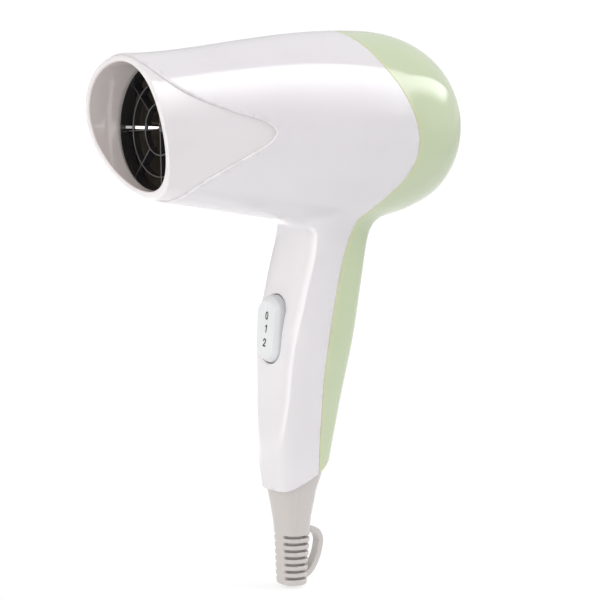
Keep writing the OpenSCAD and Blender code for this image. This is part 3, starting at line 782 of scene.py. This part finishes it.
for s in np.linspace(0, 1, 9)[1:]:
    down = x + (SEAT_X - x) * s
    last = b.row(mouth_edges, last, np.column_stack([down, side * (BORE_R + BORE_DRAFT * (1 - s))]))
for r, x in ((COLLAR_LEDGE_R, SEAT_X), (COLLAR_LEDGE_R, COLLAR_END_X), (COLLAR_LEDGE_R + 1, COLLAR_END_X)):
    last = b.row(mouth_edges, last, np.column_stack([np.full(len(at), x), side * r]))
make("nozzle_ring", *b.mesh(), "dryer", "white_shell", WHITE_RING, np.vstack(b.n),
     np.concatenate(b.rim), ["nozzle_collar"])


# Rear grille: a domed cap with rings of arc slots
SLOT_RINGS, SLOT_R, SLOT_RING_PITCH, SLOT_HALF = 5, 5.0, 4.6, 1.2
SLOT_TURN = 30                         # degrees from one slot to the next


def slot_field(p):
    r = np.hypot(p[:, 1], p[:, 2])
    turn = np.degrees(np.arctan2(p[:, 1], -p[:, 2]))
    best = np.full(len(p), 50.0)
    for i in range(SLOT_RINGS):
        inner = SLOT_R + SLOT_RING_PITCH * i
        span, mid = SLOT_TURN - 95 / inner, inner + SLOT_HALF
        half = span / 2 - math.degrees(SLOT_HALF / mid)
        off = (turn - SLOT_TURN / 2 * (i % 2) - span / 2 + SLOT_TURN / 2) % SLOT_TURN - SLOT_TURN / 2
        past = np.radians(np.maximum(np.abs(off) - half, 0)) * mid
        best = np.minimum(best, np.hypot(r - mid, past) - SLOT_HALF)
    return best


cap_cuts = [(round_field(INLET_R - 0.05, 0, 0), -0.3), (minus(slot_field), -0.35)]
v, t = surface_net(barrel_field, (134, -30, -30), (157, 30, 30), 0.7)
v = project(barrel_field, v)
for field, level in cap_cuts:
    v, t = clip(v, t, field, level, barrel_field)
v, f, n, rim = shell(v, t, cap_cuts, barrel_field, 2.0)
make("rear_grille", v, f, "dryer", "green_shell", GREEN_GRILLE, n, rim, ["inlet_grille"])


# ---- air path ----

def tube(points, r, sides=5):
    """A round wire along points, with open ends closed."""
    t = unit(np.gradient(points, axis=0))
    u = unit(np.cross(t, np.where(np.abs(t[:, :1]) > 0.9, [[0.0, 0, 1]], [[1.0, 0, 0]])))
    w = np.cross(t, u)
    a = np.arange(sides) * 2 * math.pi / sides
    return ring_loft([c + r * (np.outer(np.cos(a), i) + np.outer(np.sin(a), j))
                      for c, i, j in zip(points, u, w)])


def turn_x(v, degrees):
    c, k = math.cos(math.radians(degrees)), math.sin(math.radians(degrees))
    return np.asarray(v) @ np.array([[1, 0, 0], [0, c, k], [0, -k, c]])


def rib_section(x0, x1, front, back):
    """Section of a moulded rib as [x, offset]: a round nose, then a slight draft to the square back."""
    a = np.radians(np.linspace(90, 270, 9))
    nose = np.column_stack([x0 + front + front * np.cos(a), front * np.sin(a)])
    return np.vstack([nose, [[x1, -back], [x1, back]]])


# Outlet grille: a duct with a hub, rings and spokes, every second spoke stopping at the inner ring
DUCT_R = 24.7
DUCT_SECTION = [[13.2, 24.45], [13.05, 24.6], [13.05, 24.85], [13.3, 25.1], [18, 25.1], [18, 26.2],
                [26, 26.2], [26, 25.35], [18.8, 25.35], [18.8, 24.45]]
SPOKE_X, SPOKES, SPOKE_DEPTH, RING_DEPTH, RIB_BACK = 15.0, 8, 3.6, 2.6, 0.45
GRILLE_TURN, GRILLE_DROP = -7, 0.8
HUB_SECTION = [[SPOKE_DEPTH, 0.01], [SPOKE_DEPTH, 1.5], [0.9, 1.5], [0.4, 1.2], [0.1, 0.7], [0, 0.01]]
RINGS = [10.1, 18.5]
hub_at = (0, 0, -GRILLE_DROP)
b = Build()
b.add(*turned(DUCT_SECTION, 128, closed=True))
b.add(*turned([[SPOKE_X + dx, r] for dx, r in HUB_SECTION], 48, hub_at))
for r in RINGS:
    section = rib_section(SPOKE_X, SPOKE_X + RING_DEPTH, 0.32, RIB_BACK)
    b.add(*turned([[x, r + w] for x, w in section], 96, hub_at, closed=True))
for i in range(SPOKES):
    section = rib_section(SPOKE_X + 0.05, SPOKE_X + SPOKE_DEPTH, 0.3, RIB_BACK)
    turn = 360 * i / SPOKES + GRILLE_TURN
    ends = [1.2 if i % 2 == 0 else RINGS[0], DUCT_R + GRILLE_DROP * math.cos(math.radians(turn))]
    v, f = ring_loft([np.column_stack([section, np.full(len(section), r)]) for r in ends])
    b.add(turn_x(v, turn) + hub_at, f)
make("outlet_ribs", *b.mesh(), "dryer", "black_plastic", BLACK, replaces=["outlet_grille"], sharp=40)

# Glowing strips above the level spokes, painted light for the light caught between the rings, and dimmer
# glowing ones at the sides
STRIP_SECTION = ((15.6, -0.55), (15.6, 0.5), (16.4, 0.5), (16.4, -0.55))
STRIP_DROP, STRIP_SLOPE = 0.45, 0.068


def strips(name, material, spans):
    b = Build()
    for side_y in (1, -1):
        for span in spans:
            b.add(*ring_loft([np.array([[x, side_y * y, h - STRIP_DROP - side_y * STRIP_SLOPE * (y - 1)]
                                        for x, h in STRIP_SECTION]) for y in span]))
    make(name, *b.mesh(), "dryer", "mica", material, sharp=30)


strips("grille_painted_light", PAINTED_LIGHT_STRIP, ((1.9, 8.6), (11.3, 17.5)))
strips("side_painted_light", PAINTED_DIM_LIGHT_STRIP, ((20.4, 24.2),))

# Heating element: a fine wire wound on a helix that runs round the boards
COIL_X, COIL_R, COIL_PITCH, COIL_TURNS = 31.0, 20.4, 8.4, 4.75
ELEMENT_R, WIRE_R, WIND_PITCH = 1.0, 0.26, 1.3
sweep = 2 * math.pi * COIL_TURNS
a = np.linspace(0, sweep, int(sweep * COIL_R / WIND_PITCH) * (9))
wind = a * COIL_R / WIND_PITCH * 2 * math.pi
out_dir = np.column_stack([0 * a, np.cos(a), np.sin(a)])
centre = out_dir * COIL_R + np.column_stack([COIL_X + COIL_PITCH * a / (2 * math.pi), 0 * a, 0 * a])
along = unit(np.gradient(centre, axis=0))
across = np.cross(along, out_dir)
off_centre = ELEMENT_R * (np.cos(wind)[:, None] * out_dir + np.sin(wind)[:, None] * across)
v, f = tube(centre + off_centre, WIRE_R)
make("element_winding", v, f, "dryer", "nichrome", WIRE, replaces=["heating_coils"])

# Lint screen: woven wire in a rolled rim
SCREEN_X, SCREEN_R, SCREEN_PITCH, SCREEN_WIRES, SCREEN_WIRE_R = 140.2, 25.9, 1.7, 15, 0.14
b = Build()
b.add(*turned([[SCREEN_X + 0.1 + 0.7 * math.cos(q), SCREEN_R + 0.3 + 0.6 * math.sin(q)]
               for q in np.linspace(0, 2 * math.pi, 13)[:-1]], 96, closed=True))
for i in range(-SCREEN_WIRES, SCREEN_WIRES + 1):
    reach = math.sqrt(SCREEN_R ** 2 - (i * SCREEN_PITCH) ** 2)
    t = np.linspace(-reach, reach, max(int(4 * reach / SCREEN_PITCH), 4))
    dip = 0.15 * np.cos(math.pi * (t / SCREEN_PITCH + i))
    b.add(*tube(np.column_stack([SCREEN_X + dip, 0 * t + i * SCREEN_PITCH, t]), SCREEN_WIRE_R, 4))
    b.add(*tube(np.column_stack([SCREEN_X - dip, t, 0 * t + i * SCREEN_PITCH]), SCREEN_WIRE_R, 4))
make("lint_screen", *b.mesh(), "dryer", "steel", MESH, replaces=["lint_filter"])


# ---- rocker ----

ROCKER_FACE_X, ROCKER_SKIRT_X, ROCKER_BACK_X = 70.4, 74.2, 77.2
ROCKER_DISH = 0.22
FACE_INSET_L, FACE_INSET_W = 5.0, 2.8  # how much smaller the face is than the skirt
TOOTH_Y, TOOTH_X, TOOTH_TIP_R = (-4.9, -3.5), (73, 78, 84), 1.1
TOOTH_HALF, TOOTH_EASE = 0.75, 0.15
PIVOT_R, PIVOT_END = 1.3, 5.0
# Painted shade, with the dust and wear along edges, in the gap round the cap, for each ring from its back to
# its face
GAP_SHADE = [1.0] * 5 + [0.9, 0.8, 0.65, 0.5, 0.35, 0.2, 0.1] + [0.0] * 15


def stadium_ring(x, length, width, n=64):
    a = (np.arange(n) + 0.5) * 2 * math.pi / n
    return np.column_stack([np.full(n, x), np.cos(a) * width / 2,
                            np.sin(a) * width / 2 + np.sign(np.sin(a)) * (length - width) / 2])


face_l, face_w = ROCKER_L - FACE_INSET_L, ROCKER_W - FACE_INSET_W
# The back's rings as x, and how much shorter and narrower they are than the skirt
rows = [(ROCKER_BACK_X - 3.2, 8.6, 5.6), (ROCKER_BACK_X, 8, 5), (ROCKER_BACK_X, 0.5, 0.5),
        (ROCKER_BACK_X - 0.25, 0, 0), (75.4, 0, 0)]
rings = [stadium_ring(x, ROCKER_L - dl, ROCKER_W - dw) for x, dl, dw in rows]
for q in np.radians(np.linspace(0, 90, 15)):
    drop, inset = math.sin(q) ** (2 / 1.35), 1 - math.cos(q) ** (2 / 1.35)
    rings.append(stadium_ring(ROCKER_SKIRT_X - (ROCKER_SKIRT_X - ROCKER_FACE_X) * drop,
                              ROCKER_L - FACE_INSET_L * inset, ROCKER_W - FACE_INSET_W * inset))
for s in (0.96, 0.9, 0.8, 0.6, 0.4, 0.2, 0.03):
    rings.append(stadium_ring(ROCKER_FACE_X + ROCKER_DISH * (1 - s * s), face_l - face_w + face_w * s,
                              face_w * s))
v, f = ring_loft(rings)
b = Build()
b.add(v + [0, 0, PIVOT[2]], f, rim=np.repeat(GAP_SHADE, len(rings[0])))


def pin(r, y0, y1, x, z, n=24):
    """A round pin across the object, its ends eased."""
    a = np.arange(n) * 2 * math.pi / n
    return ring_loft([np.column_stack([x + k * np.cos(a), np.full(n, y), z + k * np.sin(a)])
                      for y, k in ((y0, r - 0.15), (y0 + 0.15, r), (y1 - 0.15, r), (y1, r - 0.15))])


def tooth_section(x):
    """Section of the tooth that carries the slider: an oblong with its corners cut."""
    (y0, y1), e, h = TOOTH_Y, TOOTH_EASE, TOOTH_HALF
    corners = [(y0, e - h), (y0 + e, -h), (y1 - e, -h), (y1, e - h), (y1, h - e), (y1 - e, h), (y0 + e, h),
               (y0, h - e)]
    return np.array([[x, y, PIVOT[2] + z] for y, z in corners])


b.add(*pin(PIVOT_R, -PIVOT_END, PIVOT_END, PIVOT[0], PIVOT[2]))
b.add(*pin(TOOTH_TIP_R, *TOOTH_Y, TOOTH_X[-1], PIVOT[2]))
b.add(*ring_loft([tooth_section(x) for x in TOOTH_X]))
make("rocker_cap", *b.mesh(), "rocker", "switch_cap", CAP, rim=np.concatenate(b.rim),
     replaces=["rocker"], sharp=50)


STROKE_END = np.radians([-60, -30, 0, 30, 60])


def stroke(line, wide, n=8):
    """Outline of a line of even width with round ends, from points [right, up] of the digit's middle."""
    c = curve(line, n)
    t = unit(np.gradient(c, axis=0))
    side = np.column_stack([-t[:, 1], t[:, 0]]) * wide / 2
    cap = [c[-1] + math.cos(q) * t[-1] * wide / 2 - math.sin(q) * side[-1] for q in STROKE_END]
    nose = [c[0] - math.cos(q) * t[0] * wide / 2 + math.sin(q) * side[0] for q in STROKE_END]
    return np.vstack([c + side, cap, (c - side)[::-1], nose])


# Positions 0, 1 and 2, printed one below the other: the middle's [y, z], then the lines of the digit
STROKE_W, SLANT = 0.6, 0.08
INK_UP, INK_DOWN = 0.03, 0.1           # how far the ink stands off the face, and goes into it
DIGITS = [
    ((-0.6, -75.5), [[[0.0, 1.4], [0.45, 1.15], [0.62, 0.4], [0.62, -0.4], [0.45, -1.15], [0, -1.4],
                      [-0.45, -1.15], [-0.62, -0.4], [-0.62, 0.4], [-0.45, 1.15], [0, 1.4]]]),
    ((-0.5, -80.8), [[[0.25, 1.45], [0.18, 0.4], [0.1, -0.5], [0.05, -1.4]],
                     [[0.25, 1.4], [-0.05, 1.05], [-0.45, 0.85]]]),
    ((0.2, -86.5), [[[-0.62, 0.75], [-0.42, 1.25], [0.1, 1.42], [0.62, 1.15], [0.66, 0.55], [0.3, -0.15],
                     [-0.3, -0.85], [-0.68, -1.38]], [[-0.68, -1.38], [0.0, -1.4], [0.7, -1.36]]]),
]
b = Build()
for (y, z), lines in DIGITS:
    for line in lines:
        o = stroke(line, STROKE_W)
        at_y, at_z = y - o[:, 0] - SLANT * o[:, 1], z + o[:, 1]
        past = np.maximum(np.abs(at_z - PIVOT[2]) - (face_l - face_w) / 2, 0)
        x = ROCKER_FACE_X + ROCKER_DISH * (1 - (np.hypot(at_y, past) / (face_w / 2)) ** 2)
        n, ends = len(o), len(STROKE_END)
        top = b.add(np.column_stack([x - INK_UP, at_y, at_z]), [])
        low = b.add(np.column_stack([x + INK_DOWN, at_y, at_z]), [])
        half = n // 2 - ends
        left = np.arange(half + ends, 2 * half + ends)[::-1]
        for k in range(half - 1):
            b.f.append([top + k, top + k + 1, top + left[k + 1], top + left[k]])
        b.f.append([*range(top + half - 1, top + half + ends), top + left[half - 1]])
        b.f.append([top + left[0], *range(top + 2 * half + ends, top + n), top])
        for k in range(n):
            m = (k + 1) % n
            b.f.append([top + k, top + m, low + m, low + k])
make("rocker_digits", *b.mesh(), "rocker", "black_plastic", INK, sharp=40)


# ---- strain relief ----

BOOT_CURVE = curve(BOOT_ROWS, 12)
BOOT_END_Z, PLUG_Z, PLUG_TOP_Z, PLUG_INSET = -187.5, -158, -133.2, 2.6
SLOTS, SLOT_TOP, SLOT_PITCH, SLOT_H, SPINE_W = 7, -166.9, 2.9, 1.15, 2.6
SLOT_FLOOR_R, SLOT_FLOOR_STEP = 4.7, 0.14      # how far in the first slot goes, and how much further the next
STRAP_HALF_THICK, STRAP_HALF_WIDE, STRAP_EDGE = 0.8, 1.6, 0.5
BOOT_SHIFT = 1.2           # how far forward the boot's body and bore sit of where the CAD has them
loop = outline_field(LOOP_LINE, [[90, -186], [90, -163]])


def smooth_max(a, b, k):
    h = np.maximum(k - np.abs(a - b), 0) / k
    return np.maximum(a, b) + h * h * k / 4


def cord_axis(z):
    end_z, end_x = BOOT_ROWS[0][:2]
    return end_x - (z - end_z) * BOOT_LEAN


def boot_field(p, both=False):
    """The boot with its slots, hanging loop and bore, every edge softly rounded."""
    x, y, z = p.T
    xc, hd, hw = (np.interp(z, BOOT_CURVE[:, 0], BOOT_CURVE[:, k]) for k in (1, 2, 3))
    ribbed = smoothstep(-164.5, -167, z) * smoothstep(SPINE_W, SPINE_W + 1, np.abs(y))
    swell = 0.06 * np.cos(2 * math.pi * (z - SLOT_TOP - SLOT_PITCH / 2) / SLOT_PITCH) * ribbed
    xc = xc - BOOT_SHIFT
    hd, hw = hd + swell - 0.06, hw + swell - 0.06
    plug = np.where(z > PLUG_Z, PLUG_INSET, 0)

    def oval(inset):
        u, v = np.abs(x - xc) / (hd - inset) + 1e-6, np.abs(y) / (hw - inset) + 1e-6
        s = (u ** BOOT_N + v ** BOOT_N) ** (1 / BOOT_N)
        steep = np.hypot((u / s) ** (BOOT_N - 1) / (hd - inset), (v / s) ** (BOOT_N - 1) / (hw - inset))
        return (s - 1) / steep

    body = oval(0)
    near = z > PLUG_Z
    body[near] = np.maximum(body[near], foot(p[near]) + 0.15)
    body = np.minimum(body, np.maximum(np.maximum(oval(plug), PLUG_Z - z), z - PLUG_TOP_Z))
    body = smooth_max(body, BOOT_END_Z - z, 0.8)
    away = np.hypot(x - cord_axis(z) + BOOT_SHIFT, y)
    row = np.clip(np.round((SLOT_TOP - z) / SLOT_PITCH), 0, SLOTS - 1)
    gap = np.abs(z - (SLOT_TOP - SLOT_PITCH * row)) - SLOT_H / 2
    floor = SLOT_FLOOR_R - SLOT_FLOOR_STEP * row - away
    slot = smooth_max(smooth_max(gap, SPINE_W - np.abs(y), 0.3), floor, 0.3)
    solid = body.copy()
    body = smooth_max(body, -slot, 0.3)
    m = (x > 90) & (z < -160)
    q = np.maximum([np.abs(loop(p[m]) + 0.2) - STRAP_HALF_THICK, np.abs(y[m]) - STRAP_HALF_WIDE], 0)
    strap = np.hypot(*q) - STRAP_EDGE
    h = np.maximum(1.0 - np.abs(body[m] - strap), 0)
    body[m] = np.minimum(body[m], strap) - h * h / 4
    body = smooth_max(body, CORD_R - away, 0.4)
    return (body, solid) if both else body


v, t = surface_net(boot_field, (75, -12, -189), (106, 12, -131), 0.36)
v = project(boot_field, v, 2)
n = unit(gradient(boot_field, v, 0.08))
# rim: painted shade that grows deeper in the slots, and also carries the wear
depth = -boot_field(v, True)[1] * smoothstep(-165.5, -166.5, v[:, 2])
make("boot", v, t, "dryer", "grey_boot", BOOT, n, 0.6 * smoothstep(0.25, 1.6, depth), ["strain_relief"])


# ---- camera ----

CAMERA_AT = (-0.565, -0.842, 0.0688)
LENS = 159.5


def camera():
    """Long lens from the front left, a little above, with the small roll of the photograph."""
    turn, down, roll = math.radians(37.77), math.radians(7.42), math.radians(2.94)
    look = Vector((math.sin(turn) * math.cos(down), math.cos(turn) * math.cos(down), -math.sin(down)))
    right = Vector((math.cos(turn), -math.sin(turn), 0))
    up = right.cross(look)
    right, up = (math.cos(roll) * right + math.sin(roll) * up, -math.sin(roll) * right + math.cos(roll) * up)
    data = bpy.data.cameras.new("camera")
    data.lens, data.sensor_width = LENS, 36
    data.clip_start, data.clip_end = 0.01, 100
    obj = bpy.data.objects.new("camera", data)
    bpy.context.scene.collection.objects.link(obj)
    obj.matrix_world = Matrix.Translation(CAMERA_AT) @ Matrix((right, up, -look)).transposed().to_4x4()
    bpy.context.scene.camera = obj
    return look


look = camera()


# ---- light ----

LEFT_BOX = (-0.595, 0.446, 0.669)    # direction square to the left box's near edge
BOX_END = (0.36, -0.74, -0.57)       # direction square to the edge of the overhead box's far end
BOX_LIGHT = (3.6, 3.6, 3.6)
CAMERA_SIDE = (0.47, 0.455, 0.505)   # tone of the walls at the camera's side
FLOOR_DROP = 0.0012                  # gap under the boot, in metres
FLOOR_SPOT = (0.085, 0, -0.09)       # point over the floor that its bright and dark parts lie round
FLOOR_GLOW, FLOOR_LIT, FLOOR_POOL = 1.07, 2.6, -0.52
GLOW_SHARE = 0.7                     # how much of the floor's look is its own light


def studio():
    """A light tent: pale walls, a wide box overhead and one at the left, greyer towards the camera."""
    world = bpy.data.worlds.new("studio")
    bpy.context.scene.world = world
    g = Graph(world)
    back = g.new("Background")
    g.feed(g.new("OutputWorld").inputs[0], back.outputs[0])
    heading = g.new("TexCoord").outputs["Generated"]
    ramp, both = g.ramp, g.both

    def dot(*direction):
        return g.vector("DOT_PRODUCT", heading, tuple(Vector(direction).normalized()))

    ahead, below, across, beside = dot(look.x, look.y, 0), dot(0, 0, -1), dot(1, 0, 0), dot(*LEFT_BOX)
    raised = ramp(dot(0, 0, 1), 0.22, 0.34)
    # The overhead box is crisp where it meets the back wall, and fades towards the camera
    over = both(ramp(dot(-0.5, -0.98, 0.2), 0.0, 0.05), ramp(dot(0, 0.9, -0.1), -0.95, -0.40),
                ramp(across, 0.20, 0.34), ramp(across, 0.68, 0.62), raised)
    # The rear dome mirrors the box's far end as a level strip
    far = dot(*BOX_END)
    end = both(ramp(far, 0.0, 0.04), ramp(far, 0.38, 0.16), ramp(across, 0.60, 0.66), raised)
    # The left box is level with the object, brightest by the camera, its edge a little left of it
    left = both(ramp(beside, 0.04, 0.10), ramp(dot(-1, -0.2, 0), 0.25, 0.45))
    tone = (*CAMERA_SIDE, 1)
    for mask, colour in (
            (ramp(ahead, -0.1, 0.75), (0.80, 0.79, 0.81)),  # back wall
            (ramp(below, 0.05, 0.5), (0.70, 0.69, 0.69)),  # floor
            (both(ramp(ahead, 0.35, 0.75), ramp(below, -0.48, -0.25)), (0.46, 0.455, 0.46)),  # low back wall
            (both(ramp(ahead, 0.8, 0.9), ramp(below, -0.10, -0.05)), (1.03, 1.03, 1.03)),  # where they meet
            (ramp(dot(1, 0.1, 0.3), 0.5, 0.85), (0.85, 0.85, 0.85)),  # right-hand wall
            (over, BOX_LIGHT),
            (end, BOX_LIGHT),
            (left, (1.05, 1.02, 0.98)),
            (both(left, ramp(beside, 0.70, 0.25)), (2.9, 2.85, 2.8))):
        tone = g.mix(mask, tone, colour)
    g.feed(back.inputs["Color"], tone)
    back.inputs["Strength"].default_value = 1.0


def pale_floor():
    """A wide white floor just under the strain relief. It is brighter at the left, where the box stands on
    it, and darker in front of the camera's view and to the right of it, which gives the barrel its shade.
    """
    v, f = turned([[0, 0.0], [0, 4.0], [-0.001, 9.0], [-0.02, 90.0]], 64)
    v = np.column_stack([v[:, 1], v[:, 2], v[:, 0] + cad_low.z - FLOOR_DROP])
    mesh = bpy.data.meshes.new("floor")
    mesh.from_pydata(v.tolist(), [], f)
    mesh.materials.append(bpy.data.materials.new("floor"))
    g = Graph(mesh.materials[0])
    place = g.new("TexCoord").outputs["Object"]
    spot = g.vector("SUBTRACT", place, FLOOR_SPOT)
    facing, reach = g.vector("DOT_PRODUCT", g.vector("NORMALIZE", spot), LEFT_BOX), g.vector("LENGTH", spot)
    lit = g.both(g.ramp(facing, 0.04, 0.10), g.ramp(facing, 0.20, 0.45, 1, 0), g.ramp(reach, 0.15, 0.3))
    away = Vector((look.x, look.y, 0)).normalized()
    aside = Vector((away.y, -away.x, 0)) - 0.14 * away
    front = g.both(g.ramp(g.vector("DOT_PRODUCT", place, away), -0.25, 0.03, 1, 0),
                   g.ramp(reach, 0.4, 1.6, 1, 0))
    right = g.ramp(g.vector("DOT_PRODUCT", place, aside), 0.12, 0.8)
    strength = g.math("ADD", g.math("MULTIPLY", lit, FLOOR_LIT), FLOOR_GLOW)
    pool = g.math("MULTIPLY", g.math("MAXIMUM", front, right), FLOOR_POOL)
    paint, glow = g.new("BsdfDiffuse"), g.new("Emission")
    paint.inputs["Color"].default_value = (0.9, 0.9, 0.9, 1)
    glow.inputs["Color"].default_value = (1.0, 1.0, 1.0, 1)
    g.feed(glow.inputs["Strength"], g.math("ADD", strength, pool))
    mix = g.new("MixShader")
    for socket, value in zip(mix.inputs, (GLOW_SHARE, paint.outputs[0], glow.outputs[0])):
        g.feed(socket, value)
    g.feed(g.new("OutputMaterial").inputs[0], mix.outputs[0])
    obj = bpy.data.objects.new("floor", mesh)
    bpy.context.scene.collection.objects.link(obj)
    obj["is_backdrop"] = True


studio()
pale_floor()
bpy.context.scene.view_settings.view_transform = "Standard"
bpy.context.scene.view_settings.look = "None"

low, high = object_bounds()
